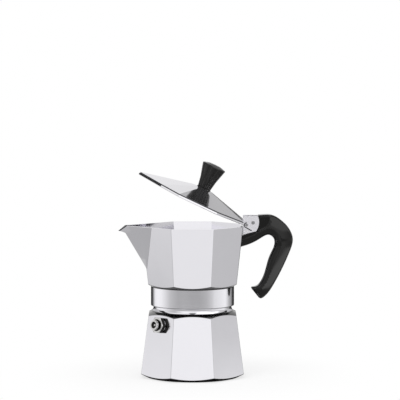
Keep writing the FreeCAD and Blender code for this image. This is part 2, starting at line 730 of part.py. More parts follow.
def make_lug(body):
    # Two cheeks with a slot between them, for the lid's knuckle and the handle's tongue
    sketch = new_sketch(body, "lug_side")
    chin = ("At.lug_x - Dim.lug_chin_back", "At.lip_z - Dim.lug_chin")
    crown = ("At.lug_x", "At.lug_z")
    facet_low = "(At.rim_x - At.flare * Dim.lug_drop - Dim.collector_wall / 2)"
    points = [
        crown,
        ("At.rim_x + Dim.lug_set", "At.lug_z"),
        ("At.rim_x + Dim.lug_set", "At.lip_z"),
        ("At.rim_x - Dim.collector_wall / 2", "At.lip_z"),
        (facet_low, "At.lip_z - Dim.lug_drop"),
        chin,
    ]
    corners = [FreeCAD.Vector(mm(x), mm(y), 0) for x, y in points]
    radius = mm("Dim.lug_round")
    chord = corners[0].sub(corners[-1])
    bulge = radius - math.sqrt(radius ** 2 - chord.Length ** 2 / 4)
    side = FreeCAD.Vector(chord.y, -chord.x, 0).normalize()
    middle = corners[0].add(corners[-1]).multiply(0.5).add(side.multiply(bulge))
    last = len(points) - 1
    sketch.addGeometry([Part.LineSegment(corners[i], corners[i + 1]) for i in range(last)])
    arc = sketch.addGeometry(Part.Arc(corners[last], middle, corners[0]))
    for i in range(last - 1):
        sketch.addConstraint(Sketcher.Constraint("Coincident", i, 2, i + 1, 1))
    sketch.addConstraint(Sketcher.Constraint("Coincident", last - 1, 2, arc, 1))
    sketch.addConstraint(Sketcher.Constraint("Coincident", arc, 2, 0, 1))
    for i, point in enumerate(points[:-1]):
        tie_point(sketch, i, 1, point)
    tie_point(sketch, last - 1, 2, chin)
    tie(sketch, Sketcher.Constraint("Radius", arc, radius), "Dim.lug_round")
    across(body, "lug", sketch, "Dim.lug_width")
    slot = outline(body, "slot_side", [
        ("At.rim_x + Dim.lug_set / 2", "At.lip_z - Dim.lug_drop + Dim.lug_web"),
        ("At.lug_x + Dim.lug_length", "At.lip_z - Dim.lug_drop + Dim.lug_web"),
        ("At.lug_x + Dim.lug_length", "At.lug_z + Dim.lug_set"),
        ("At.rim_x + Dim.lug_set / 2", "At.lug_z + Dim.lug_set"),
    ])
    across(body, "lug_slot", slot, "Dim.lug_slot", "Pocket")
    hinge = circle(body, "hinge_eye", ("At.pivot_x", "At.pivot_z"), "Dim.hinge_pin_dia / 2")
    across(body, "hinge_hole", hinge, "Dim.lug_width * 2", "Pocket")
    eye = circle(body, "handle_eye", ("At.handle_pin_x", "At.handle_pin_z"), "Dim.handle_pin_dia / 2")
    across(body, "handle_hole", eye, "Dim.lug_width * 2", "Pocket")
    # A shallow hooked groove round the hinge pin on each cheek, with a tail that slopes down and back
    inside = "Dim.hook_radius - Dim.hook_width / 2"
    outside = "Dim.hook_radius + Dim.hook_width / 2"
    tail = ("Dim.hook_tail * cos(30)", "Dim.hook_tail * sin(30)")

    def on_hook(radius, angle, run=None):
        x = f"At.pivot_x + ({radius}) * cos({angle})"
        z = f"At.pivot_z + ({radius}) * sin({angle})"
        return (f"{x} + {run[0]}", f"{z} - {run[1]}") if run else (x, z)

    hook = [on_hook(outside, angle) for angle in (80, 120, 160, 200, 240)]
    hook += [on_hook(outside, 240, tail), on_hook(inside, 240, tail)]
    hook += [on_hook(inside, angle) for angle in (240, 200, 160, 120, 80)]
    for side, lift in (("front", "Dim.lug_width / 2"), ("back", "-1 * Dim.lug_width / 2")):
        groove = outline(body, f"hook_{side}", hook, "XZ_Plane", lift)
        across(body, f"hook_groove_{side}", groove, "Dim.hook_depth * 2", "Pocket")


def make_pin(name, x, z, dia):
    pin = doc.addObject("Part::Cylinder", name)
    pin.Label = name
    pin.setExpression("Radius", f"{dia} / 2")
    pin.setExpression("Height", "Dim.lug_width + 2 * Dim.pin_proud")
    end = "Dim.lug_width / 2 + Dim.pin_proud"
    return placed(pin, placement(x, end, z, "create(<<rotation>>; 0 deg; 0 deg; 90 deg)"))


def lid_outline(body, name, scale, lift):
    # Octagon of the rim with its -X corner drawn out to a beak over the spout
    a = f"At.rim_x * {scale}"
    b = f"At.rim_x * tan(22.5) * {scale}"
    root_x = f"-1 * Dim.spout_root * {scale}"
    root_y = f"(At.rim_sum - Dim.spout_root) * {scale}"
    na = f"-1 * {a}"
    nb = f"-1 * {b}"
    points = [(a, nb), (a, b), (b, a), (nb, a), (root_x, root_y), (f"-1 * Dim.lid_tip * {scale}", "0"),
              (root_x, f"-1 * {root_y}"), (nb, na), (b, na)]
    return outline(body, name, points, "XY_Plane", lift)


# Lid: rim band and low pyramid, hollow below, with a knuckle between the lug's cheeks
def make_lid(swing):
    body = new_body("lid")
    top = "(Dim.lid_top_flats / Dim.rim_flats)"
    skin = "((At.rim_x - Dim.lid_wall) / At.rim_x)"
    edge = "((At.rim_x - Dim.lid_edge) / At.rim_x)"
    drawn = "((At.rim_x - Dim.lid_draft) / At.rim_x)"
    groove = "((At.rim_x - Dim.lid_groove) / At.rim_x)"
    loft(body, "crown", [
        lid_outline(body, "band_foot", edge, "At.lid_z"),
        lid_outline(body, "band_low", "1", "At.lid_z + Dim.lid_edge"),
        lid_outline(body, "band_high", drawn, "At.lid_z + Dim.lid_band - Dim.lid_groove * 1.2"),
        lid_outline(body, "groove", groove, "At.lid_z + Dim.lid_band - Dim.lid_groove * 0.6"),
        lid_outline(body, "roof_foot", edge, "At.lid_z + Dim.lid_band"),
        lid_outline(body, "crown_top", top, "At.lid_top_z"),
    ])
    loft(body, "hollow", [
        lid_outline(body, "hollow_low", skin, "At.lid_z"),
        lid_outline(body, "hollow_mid", skin, "At.lid_z + Dim.lid_band - Dim.lid_wall / 2"),
        lid_outline(body, "hollow_top", top, "At.lid_top_z - Dim.lid_wall"),
    ], "SubtractiveLoft")
    pivot = ("At.pivot_x", "At.pivot_z")
    lug_reach = "sqrt((Dim.lug_top - Dim.hinge_rise) ^ 2 + (Dim.hinge_back - Dim.lug_set) ^ 2)"
    notch_r = f"({lug_reach} + Dim.lid_notch_gap)"
    notch = circle(body, "notch_side", pivot, notch_r)
    across(body, "lug_notch", notch, "Dim.lug_width + 2 * Dim.lid_notch_gap", "Pocket")
    arm_x = f"(At.pivot_x - {notch_r} - Dim.lid_wall * 2)"
    pitch = "(Dim.lid_height - Dim.lid_band) / (At.rim_x - Dim.lid_top_flats / 2)"
    arm = outline(body, "arm_side", [
        (arm_x, "At.lid_z + Dim.lid_band - Dim.lid_wall"),
        ("At.rim_x", "At.lid_z"),
        ("At.pivot_x", "At.lid_z"),
        ("At.pivot_x", "At.lid_z + Dim.lid_band"),
        (arm_x, f"At.lid_z + Dim.lid_band + (At.rim_x - {arm_x}) * {pitch} - Dim.lid_wall / 2"),
    ])
    width = "Dim.lug_slot - 2 * Dim.knuckle_gap"
    across(body, "arm", arm, width)
    across(body, "knuckle", circle(body, "knuckle_side", pivot, "Dim.knuckle_dia / 2"), width)
    eye = circle(body, "eye_side", pivot, "Dim.hinge_pin_dia / 2 + Dim.hinge_fit")
    across(body, "eye", eye, "Dim.lug_width", "Pocket")
    screw_hole = feature(body, "Pocket", "screw_hole", circle(
        body, "screw_hole_edge", ("0", "0"), "Dim.knob_screw_dia / 2 + Dim.screw_hole_gap", "XY_Plane",
        "At.lid_top_z"))
    screw_hole.Midplane = True
    screw_hole.setExpression("Length", "Dim.lid_wall * 4")
    doc.recompute()
    return placed(body, swing)


# Knob: cone that widens upwards, with a low dome and shallow flutes, on its washer and screw
def make_knob(swing):
    foot = "Dim.knob_foot_dia / 2"
    head = "Dim.knob_top_dia / 2"
    top = "(At.knob_z + Dim.knob_height)"
    screw_r = "Dim.knob_screw_dia / 2"
    knob = new_body("knob")
    waist = f"({foot} + ({head} - {foot}) * 0.32)"
    waist_z = "At.knob_z + Dim.knob_height * 0.4"
    shoulder_z = f"({top} - Dim.knob_dome / 2)"
    revolve(knob, "cone", [
        ("0", "At.knob_z"),
        (foot, "At.knob_z"),
        (waist, waist_z),
        (head, shoulder_z),
        (f"{head} - Dim.knob_dome / 3", top),
        (f"{head} / 2", f"{top} + Dim.knob_dome * 0.8"),
        ("0", f"{top} + Dim.knob_dome"),
    ])
    stations = [(foot, "At.knob_z"), (waist, waist_z), (head, shoulder_z)]
    flute = loft(knob, "flute", [circle(
        knob, f"flute_{number}", (f"{radius} * (1 + Dim.knob_flute_share) - Dim.knob_flute", "0"),
        f"{radius} * Dim.knob_flute_share", "XY_Plane", lift)
        for number, (radius, lift) in enumerate(stations)], "SubtractiveLoft")
    pattern(knob, "flutes", flute, 10)
    revolve(knob, "screw_socket", [
        ("0", "At.knob_z"),
        (f"{screw_r} + Dim.screw_fit", "At.knob_z"),
        (f"{screw_r} + Dim.screw_fit", "At.knob_z + Dim.knob_screw_depth + Dim.screw_hole_gap"),
        ("0", "At.knob_z + Dim.knob_screw_depth + Dim.screw_hole_gap"),
    ], "Groove")
    washer = new_body("knob_washer")
    revolve(washer, "disc", [
        (f"{screw_r} + Dim.screw_hole_gap", "At.lid_top_z"),
        ("Dim.knob_washer_dia / 2", "At.lid_top_z"),
        ("Dim.knob_washer_dia / 2", "At.knob_z"),
        (f"{screw_r} + Dim.screw_hole_gap", "At.knob_z"),
    ])
    screw = new_body("knob_screw")
    under = "(At.lid_top_z - Dim.lid_wall)"
    revolve(screw, "pan_head", [
        ("0", f"{under} - Dim.knob_screw_head"),
        ("Dim.knob_screw_head_dia / 2 * 0.7", f"{under} - Dim.knob_screw_head"),
        ("Dim.knob_screw_head_dia / 2", f"{under} - Dim.knob_screw_head * 0.4"),
        ("Dim.knob_screw_head_dia / 2", under),
        (screw_r, under),
        (screw_r, "At.knob_z + Dim.knob_screw_depth"),
        ("0", "At.knob_z + Dim.knob_screw_depth"),
    ])
    return [placed(item, swing) for item in (knob, washer, screw)]


# Handle: side outline of smooth curves, given width and rounded, with a tongue in the lug's slot
def make_handle():
    reach = mm("Dim.handle_reach")
    drop = mm("Dim.handle_drop")
    gap = mm("Dim.handle_gap")
    width = mm("Dim.handle_width")
    lug_x = mm("At.lug_x")
    lug_z = mm("At.lug_z")
    lip_z = mm("At.lip_z")

    def spot(across_share, down_share):
        return FreeCAD.Vector(lug_x + reach * across_share, 0, lug_z - drop * down_share)

    def at_wall(down_share):
        z = lug_z - drop * down_share
        return FreeCAD.Vector(mm("At.rim_x") - mm("At.flare") * (lip_z - z) + gap, 0, z)

    chin = FreeCAD.Vector(lug_x - mm("Dim.lug_chin_back") + gap, 0, lip_z - mm("Dim.lug_chin") - gap)
    crown = FreeCAD.Vector(lug_x + gap, 0, lug_z)
    brow = FreeCAD.Vector(lug_x + gap, 0, lug_z + mm("Dim.handle_proud"))
    back = [brow, spot(0.2, -0.015), spot(0.36, -0.013), spot(0.5, 0.007), spot(0.63, 0.042),
            spot(0.885, 0.148), spot(1.0, 0.273), spot(0.913, 0.427), spot(0.685, 0.64),
            spot(0.456, 0.819), spot(0.2, 0.961), spot(0.07, 1.0)]
    toe = spot(-0.223, 0.847)
    grip = [toe, spot(-0.04, 0.838), spot(0.084, 0.786), spot(0.2, 0.664), spot(0.342, 0.463),
            spot(0.48, 0.332), spot(0.43, 0.255), spot(0.315, 0.226), spot(0.114, 0.257),
            spot(-0.17, 0.324)]
    cheek = [spot(-0.03, 0.185), spot(0.185, 0.149), spot(0.329, 0.09), spot(0.345, 0.031),
             spot(0.345, -0.05), spot(-0.25, -0.05), spot(-0.25, 0.2)]
    wall_low = at_wall(0.37)
    wall_high = at_wall(0.232)

    def curve(points):
        spline = Part.BSplineCurve()
        spline.interpolate(points)
        return spline.toShape()

    def line(start, end):
        return Part.makeLine(start, end)

    lug_bulge = mm("Dim.lug_round") + gap
    middle = crown.add(chin).multiply(0.5)
    chord = crown.sub(chin)
    out = FreeCAD.Vector(chord.z, 0, -chord.x).normalize()
    bulge = lug_bulge - math.sqrt(lug_bulge ** 2 - chord.Length ** 2 / 4)
    seat = Part.Arc(chin, middle.add(out.multiply(bulge)), crown).toShape()
    edges = [curve(back), line(back[-1], toe), curve(grip + [wall_low]), line(wall_low, wall_high),
             line(wall_high, chin), seat, line(crown, brow)]
    face = Part.Face(Part.Wire(edges))
    slab = face.extrude(FreeCAD.Vector(0, width, 0))
    slab.translate(FreeCAD.Vector(0, -width / 2, 0))
    corners = [edge for edge in slab.Edges
               if any(abs(edge.CenterOfMass.x - point.x) + abs(edge.CenterOfMass.z - point.z) < 1e-6
                      for point in (toe, back[-1]))]
    slab = slab.makeFillet(mm("Dim.toe_round"), corners)
    ends = Part.Compound(edges[3:])

    def on_side(edge):
        if abs(abs(edge.CenterOfMass.y) - width / 2) > 1e-6:
            return False
        middle = edge.valueAt((edge.FirstParameter + edge.LastParameter) / 2)
        return ends.distToShape(Part.Vertex(middle.x, 0, middle.z))[0] > gap / 2

    body = slab.makeFillet(mm("Dim.handle_round"), [edge for edge in slab.Edges if on_side(edge)])
    setback = Part.Face(Part.Wire([curve(cheek[:4])] + [
        line(cheek[i], cheek[(i + 1) % len(cheek)]) for i in range(3, len(cheek))]))
    inner_y = width / 2 - mm("Dim.cheek_depth")
    for side in (1, -1):
        step = setback.extrude(FreeCAD.Vector(0, side * width, 0))
        step.translate(FreeCAD.Vector(0, side * inner_y, 0))
        body = body.cut(step)
    slot_low = lip_z - mm("Dim.lug_drop") + mm("Dim.lug_web") + gap
    tongue_x = mm("At.pivot_x") + mm("Dim.knuckle_dia") / 2 + 2 * gap
    tongue_y = mm("Dim.lug_slot") - 2 * gap
    tongue_top = lug_z - gap * 4
    tongue_back = lug_x + mm("Dim.lug_chin")
    tongue_side = [
        FreeCAD.Vector(tongue_x, -tongue_y / 2, slot_low),
        FreeCAD.Vector(tongue_back, -tongue_y / 2, slot_low),
        FreeCAD.Vector(tongue_back, -tongue_y / 2, tongue_top),
        FreeCAD.Vector(tongue_x + mm("Dim.tongue_lean"), -tongue_y / 2, tongue_top),
        FreeCAD.Vector(tongue_x, -tongue_y / 2, mm("At.pivot_z")),
    ]
    tongue_face = Part.Face(Part.makePolygon(tongue_side + tongue_side[:1]))
    tongue = tongue_face.extrude(FreeCAD.Vector(0, tongue_y, 0))
    hole = Part.makeCylinder(mm("Dim.handle_pin_dia / 2"), width * 2,
                             FreeCAD.Vector(mm("At.handle_pin_x"), -width, mm("At.handle_pin_z")),
                             FreeCAD.Vector(0, 1, 0))
    handle = doc.addObject("Part::Feature", "handle")
    handle.Shape = body.fuse(tongue).cut(hole).removeSplitter()
    return handle


# Frame on the front-left facet of the boiler: Z along the facet's normal, Y up the facet
valve_frame = placement("-1 * At.valve_r * sqrt(0.5)", "-1 * At.valve_r * sqrt(0.5)", "Dim.valve_height",
                        "create(<<rotation>>; -45 deg; 0 deg; 90 deg - atan(At.slope))")
# The lid, its knob and the knob's fixings stand open about the hinge pin
lid_turn = "create(<<rotation>>; create(<<vector>>; 0; 1; 0); Dim.lid_open * 1 deg)"
lid_swing = placement("0", "0", "0", lid_turn, ("At.pivot_x", "0", "At.pivot_z"))

nodes = [make_boiler(valve_frame)]
nodes += make_valve(valve_frame)
nodes += make_funnel()
nodes += make_seals()
nodes.append(make_collector())
nodes.append(make_pin("hinge_pin", "At.pivot_x", "At.pivot_z", "Dim.hinge_pin_dia"))
nodes.append(make_pin("handle_pin", "At.handle_pin_x", "At.handle_pin_z", "Dim.handle_pin_dia"))
nodes.append(make_handle())
nodes.append(make_lid(lid_swing))
nodes += make_knob(lid_swing)
doc.recompute()

for item in doc.Objects:
    if "Invalid" in item.State or "Error" in item.State:
        raise RuntimeError(f"{item.Name} failed: {item.State}")
for node in nodes:
    if node.Shape.isNull() or not node.Shape.isValid():
        raise RuntimeError(f"{node.Label} has no valid shape")

os.makedirs("parts", exist_ok=True)
for node in nodes:
    node.Shape.exportStep(f"parts/{node.Label}.step")
    print(node.Label, len(node.Shape.Solids), round(node.Shape.Volume, 1))
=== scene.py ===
import math
import bpy
import numpy as np
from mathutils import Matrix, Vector
from mathutils.geometry import delaunay_2d_cdt


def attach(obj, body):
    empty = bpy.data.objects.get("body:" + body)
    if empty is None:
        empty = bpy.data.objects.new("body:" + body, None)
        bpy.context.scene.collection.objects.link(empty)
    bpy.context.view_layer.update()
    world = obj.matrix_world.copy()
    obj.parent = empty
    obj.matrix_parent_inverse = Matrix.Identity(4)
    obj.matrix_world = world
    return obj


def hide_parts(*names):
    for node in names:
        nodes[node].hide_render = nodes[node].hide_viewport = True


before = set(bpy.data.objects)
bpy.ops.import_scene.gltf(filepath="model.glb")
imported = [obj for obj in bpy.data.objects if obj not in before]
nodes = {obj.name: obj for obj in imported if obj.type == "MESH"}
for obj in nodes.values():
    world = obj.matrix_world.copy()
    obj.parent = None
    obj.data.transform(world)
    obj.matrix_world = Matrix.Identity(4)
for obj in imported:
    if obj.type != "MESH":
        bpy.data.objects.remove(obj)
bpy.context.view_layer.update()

scene = bpy.context.scene
print("frame loaded:", len(nodes), "nodes")

# Places that the pieces and finishes are set out from, in metres: the upper pot's rim, the lean of its
# walls, its turned ring and the lid's hinge. Then how far the lid is open, the slope under the facets in
# degrees, and how soft a painted line's edge is.
pot = {
    "rimHeight": 0.128774, "rimHalf": 0.0427, "wallLean": 0.1068, "ringFoot": 0.0608, "ringTop": 0.0773,
    "hinge": (0.0459, 0.0, 0.129624), "lidOpen": math.radians(25.3), "underAngle": 28.0, "lineEdge": 0.0001,
}


# A node socket that takes part in Python arithmetic: each operator adds a Math node
class Value:
    def __init__(self, shader, socket):
        self.shader = shader
        self.socket = socket

    def maths(self, operation, *others):
        return self.shader.add("ShaderNodeMath", {"operation": operation},
                               dict(enumerate((self,) + others)))

    def __add__(self, other):
        return self.maths("ADD", other)

    def __mul__(self, other):
        return self.maths("MULTIPLY", other)

    def __sub__(self, other):
        return self.maths("SUBTRACT", other)

    def __truediv__(self, other):
        return self.maths("DIVIDE", other)

    def __rsub__(self, other):
        return (self * -1.0) + other

    __radd__ = __add__
    __rmul__ = __mul__


# How many finer levels each kind of noise has
noiseDetail = {"cloud": 4.0, "wipe": 2.0, "wave": 1.0, "ring": 3.0, "grain": 2.0}


def setStops(elements, stops):
    for _ in range(len(stops) - len(elements)):
        elements.new(0.5)
    for element, (place, colour) in zip(elements, stops):
        element.position = place
        element.color = (*colour, 1.0)


# The node tree of one material or of the world
class Shader:
    def __init__(self, owner):
        owner.use_nodes = True
        self.tree = owner.node_tree
        self.tree.nodes.clear()

    def add(self, kind, settings=None, inputs=None, output=0):
        node = self.tree.nodes.new(kind)
        for name, value in (settings or {}).items():
            if name == "stops":
                setStops(node.color_ramp.elements, value)
            else:
                setattr(node, name, value)
        for name, value in (inputs or {}).items():
            socket = node.inputs[name]
            if isinstance(value, Value):
                self.tree.links.new(value.socket, socket)
            else:
                socket.default_value = (*value, 1.0) if socket.type == "RGBA" else value
        return Value(self, node.outputs[output])

    def vector(self, operation, *inputs, output="Vector"):
        return self.add("ShaderNodeVectorMath", {"operation": operation}, dict(enumerate(inputs)), output)

    def place(self, scale=(1.0, 1.0, 1.0)):
        spot = self.add("ShaderNodeTexCoord", output="Object")
        return self.add("ShaderNodeMapping", None, {"Vector": spot, "Scale": scale})

    def split(self, vector):
        node = self.add("ShaderNodeSeparateXYZ", None, {"Vector": vector}).socket.node
        return [Value(self, node.outputs[axis]) for axis in "XYZ"]

    def fromAxis(self):
        x, y = self.split(self.place())[:2]
        return (x * x + y * y).maths("SQRT")

    def noise(self, look, kind):
        return self.add("ShaderNodeTexNoise", None, {
            "Vector": self.place(look.get(kind + "Stretch", (1.0, 1.0, 1.0))),
            "Scale": look[kind + "Scale"], "Detail": noiseDetail[kind]})

    def step(self, value, low, high):
        return self.add("ShaderNodeMapRange", {"interpolation_type": "SMOOTHSTEP"}, {
            "Value": value, "From Min": low, "From Max": high, "To Min": 0.0, "To Max": 1.0})

    def band(self, value, low, high, soft):
        return self.step(value, low - soft, low) * (1.0 - self.step(value, high, high + soft))

    def mix(self, factor, first, second, blend="MIX"):
        return self.add("ShaderNodeMix", {"data_type": "RGBA", "blend_type": blend},
                        {0: factor, 6: first, 7: second}, output=2)

    def finish(self, surface, kind="ShaderNodeOutputMaterial"):
        out = self.tree.nodes.new(kind)
        self.tree.links.new(surface.socket, out.inputs["Surface"])

    def cover(self, look, tone, rough, height, constants):
        bump = self.add("ShaderNodeBump", None, {
            "Height": height, "Strength": look["bump"], "Distance": look["bumpDepth"]})
        self.finish(self.add("ShaderNodeBsdfPrincipled", None, {
            "Base Color": tone, "Roughness": rough, "Normal": bump, **constants}))


def newMaterial(name):
    material = bpy.data.materials.new(name)
    return material, Shader(material)


def grey(level):
    return (level, level, level)


# Cast aluminium with a hand polish: slow cloudiness, fine wiping lines and a slight wave of the surface.
# A turned band has fine rings round the pot's axis and a foot painted dark as shade.
# A lug is left as cast, so it is rougher, and the hooked groove on its cheeks is painted dark as shade.
# Cones of painted shade and painted dark reflection lie under the facets and on the shoulder. A shade line is
# a dull line of painted shade at a height above a tilted plane.
def polishedCasting(name, look):
    material, paint = newMaterial(name)
    cloud, wipe, wave = [paint.noise(look, kind) for kind in ("cloud", "wipe", "wave")]
    tone = paint.mix(cloud, look["lowColour"], look["highColour"])
    rough = look["roughness"] + (cloud - 0.5) * look["cloudRough"] + (wipe - 0.5) * look["wipeRough"]
    height = wave + wipe * look["wipeHeight"]
    x, y, z = paint.split(paint.place())
    if "turned" in look:
        inBand = paint.band(z, *look["turned"])
        rings = paint.noise(look, "ring")
        rough = rough + inBand * (rings + 0.5) * look["ringRough"]
        height = height + inBand * rings * look["ringHeight"]
        # Painted shade: a dark line at the foot of the turned band
        tone = paint.mix(paint.band(z, *look["turnedFoot"]), tone, look["footShadeColour"])
    if "lugFrom" in look:
        lug = paint.step(x, *look["lugFrom"])
        rough = rough + lug * look["lugRough"]
        height = height + lug * cloud * look["lugHeight"]
        # Painted shade: the hooked groove on the lug's cheeks is darkened
        along, across, up = [paint.band(place, *span, pot["lineEdge"])
                             for place, span in zip((x, y.maths("ABSOLUTE"), z), look["groove"])]
        tone = paint.mix(along * across * up, tone, look["grooveColour"])
    # Painted shade: each cone is darkened to its level
    for cone in look.get("shadeCones", []):
        rise = (paint.fromAxis() - cone["radius"]) * math.tan(math.radians(cone["angle"]))
        inConeShade = paint.band(z - rise, *cone["heights"], pot["lineEdge"])
        tone = paint.mix(inConeShade, tone, grey(cone["level"]))
    # Painted shade: a dull dark line at a height above a tilted plane
    if "shadeLine" in look:
        out = paint.vector("SUBTRACT", paint.place(), look["shadeLineFoot"])
        above = paint.vector("DOT_PRODUCT", out, look["shadeLineUp"], output="Value")
        inShadeLine = paint.band(above, *look["shadeLine"])
        tone = paint.mix(inShadeLine, tone, look["shadeLineColour"])
        rough = rough + inShadeLine * look["shadeLineRough"]
    paint.cover(look, tone, rough, height, {"Metallic": 1.0})
    return material


# Metal turned on a lathe: fine rings round the pot's axis, and a dark rim if there is one
def turnedMetal(name, look):
    material, paint = newMaterial(name)
    rings, cloud = [paint.noise(look, kind) for kind in ("ring", "cloud")]
    tone = paint.mix(rings, look["lowColour"], look["highColour"])
    if "rim" in look:
        tone = paint.mix(paint.step(paint.fromAxis(), *look["rim"]), tone, look["rimColour"])
    rough = look["roughness"] + (rings - 0.5) * look["ringRough"] + (cloud - 0.5) * look["cloudRough"]
    paint.cover(look, tone, rough, rings, {"Metallic": look["metal"]})
    return material


# Valve metal with painted shade: the hexagon, the nipple's foot and the mouth's recess are painted dark as
# shade, the bevel and the nipple's end keep the bright metal. Height along the valve's axis and distance from
# it are a dot and a cross product with that axis.
def shadedValve(name, look):
    material, paint = newMaterial(name)
    out = paint.vector("SUBTRACT", paint.place(), look["foot"])
    along = paint.vector("DOT_PRODUCT", out, look["axis"], output="Value")
    away = paint.vector("LENGTH", paint.vector("CROSS_PRODUCT", out, look["axis"]), output="Value")
    cloud = paint.noise(look, "cloud")
    bevel = paint.step(along, *look["bevelFrom"]) * paint.step(away, *look["bevelOut"])
    nipple = paint.step(along, *look["nippleFrom"]) * (1.0 - paint.band(away, *look["recess"]))
    # Painted shade: the dark tone stands for the hexagon and the recess in shade
    tone = paint.mix(bevel + nipple, look["shadeColour"], look["brightColour"])
    rough = look["roughness"] + (cloud - 0.5) * look["cloudRough"]
    paint.cover(look, tone, rough, cloud, {"Metallic": 1.0})
    return material


# Moulded resin or rubber: soft sheen, a cloudy tone and a fine grain
def mouldedResin(name, look):
    material, paint = newMaterial(name)
    cloud, grain = [paint.noise(look, kind) for kind in ("cloud", "grain")]
    tone = paint.mix(cloud, look["lowColour"], look["highColour"])
    rough = look["roughness"] + (cloud - 0.5) * look["cloudRough"]
    paint.cover(look, tone, rough, grain, {"Specular IOR Level": look["gloss"]})
    return material


castingLook = {
    "lowColour": (0.836, 0.828, 0.866), "highColour": (0.876, 0.868, 0.907), "roughness": 0.095,
    "cloudScale": 38.0, "cloudRough": 0.05, "wipeScale": 420.0, "wipeStretch": (1.0, 1.0, 0.12),
    "wipeRough": 0.04, "wipeHeight": 0.12, "waveScale": 60.0, "bump": 0.02, "bumpDepth": 0.001,
}
# A cone's heights are those at its radius. The boiler's cones are a painted dark reflection on the chamfer
# under the facets and on the shoulder
boilerLook = {
    **castingLook,
    "shadeCones": [
        {"radius": 0.0402, "angle": pot["underAngle"], "heights": (-0.0003, 0.0003), "level": 0.06},
        {"radius": 0.0345, "angle": -27.0, "heights": (0.056, 0.0565), "level": 0.17}],
}
# The groove's spans are along the pot, across it and up; the shade line is a dark line of painted shade along
# the pouring lip
collectorLook = {
    **castingLook,
    "turned": (pot["ringFoot"], pot["ringTop"], 0.0004), "ringScale": 1400.0,
    "ringStretch": (0.01, 0.01, 1.0), "ringRough": 0.03, "ringHeight": 0.25,
    # The turned band's foot is painted dark as shade
    "turnedFoot": (pot["ringFoot"], 0.06135, pot["lineEdge"]), "footShadeColour": (0.22, 0.22, 0.225),
    "lugFrom": (0.0431, 0.0434), "lugRough": 0.3, "lugHeight": 3.0,
    # The hooked groove on the lug is painted dark as shade
    "groove": [(0.0437, 0.0525), (0.0046, 0.0072), (0.1236, 0.1326)], "grooveColour": (0.09, 0.09, 0.095),
    # Painted shade on the cone under the facets, at the top of the ring
    "shadeCones": [{"radius": 0.0355, "angle": pot["underAngle"], "heights": (0.0768, 0.0775), "level": 0.09}],
    "shadeLine": (-0.001, -0.0002, pot["lineEdge"]), "shadeLineFoot": (-0.0574, 0.0, pot["rimHeight"]),
    "shadeLineUp": (-0.6, 0.0, 0.8), "shadeLineColour": (0.045, 0.045, 0.048), "shadeLineRough": 0.1,
}
# The lid's shade line is painted shade in the groove round its edge, in the plane of the lid as it stands
# open
lightenedLidLook = {
    **castingLook,
    # The lid's tone is painted lighter than the rest of the casting: painted light that brightens its facets
    "lowColour": (0.935, 0.927, 0.96), "highColour": (0.965, 0.957, 0.985),
    "shadeLine": (0.0012, 0.0017, 0.0002), "shadeLineFoot": pot["hinge"],
    "shadeLineUp": (math.sin(pot["lidOpen"]), 0.0, math.cos(pot["lidOpen"])),
    "shadeLineColour": (0.16, 0.16, 0.17), "shadeLineRough": 0.3,
}
funnelLook = {
    "lowColour": (0.68, 0.67, 0.668), "highColour": (0.77, 0.76, 0.757), "roughness": 0.3, "metal": 0.72,
    "ringScale": 900.0, "ringStretch": (0.02, 0.02, 1.0), "ringRough": 0.14, "cloudScale": 60.0,
    "cloudRough": 0.1, "bump": 0.06, "bumpDepth": 0.0005,
}
plateLook = {
    "lowColour": (0.90, 0.87, 0.845), "highColour": (0.97, 0.94, 0.915), "roughness": 0.45, "metal": 0.25,
    "ringScale": 900.0, "ringStretch": (0.02, 0.02, 1.0), "ringRough": 0.1, "cloudScale": 70.0,
    "cloudRough": 0.12, "bump": 0.05, "bumpDepth": 0.0005,
    "rim": (0.02985, 0.03005), "rimColour": (0.17, 0.15, 0.135),
}
valveLook = {
    "foot": (-0.02693, -0.02693, 0.0465), "axis": (-0.70146, -0.70146, 0.12625),
    "bevelFrom": (0.0038, 0.0042), "bevelOut": (0.0049, 0.0052), "nippleFrom": (0.0062, 0.0064),
    # The hexagon and the recess are painted dark as shade
    "recess": (0.0011, 0.0026, 0.0002), "shadeColour": (0.03, 0.029, 0.027),
    "brightColour": (0.7, 0.695, 0.685), "roughness": 0.16, "cloudScale": 160.0, "cloudRough": 0.1,
    "bump": 0.03, "bumpDepth": 0.0005,
}
steelLook = {
    **castingLook,
    "lowColour": (0.34, 0.34, 0.35), "highColour": (0.46, 0.46, 0.47), "roughness": 0.25,
    "cloudScale": 160.0, "cloudRough": 0.12, "wipeScale": 900.0,
}
gasketLook = {
    "lowColour": (0.73, 0.705, 0.68), "highColour": (0.79, 0.765, 0.74), "roughness": 0.62, "gloss": 0.35,
    "cloudScale": 90.0, "cloudRough": 0.12, "grainScale": 1500.0, "bump": 0.12, "bumpDepth": 0.0003,
}
resinLook = {
    "lowColour": (0.0022, 0.0020, 0.0018), "highColour": (0.0042, 0.0039, 0.0036), "roughness": 0.12,
    "gloss": 0.35, "cloudScale": 70.0, "cloudRough": 0.06, "grainScale": 1600.0, "bump": 0.02,
    "bumpDepth": 0.0003,
}
knobLook = {**resinLook, "roughness": 0.2, "gloss": 0.42, "bump": 0.0}

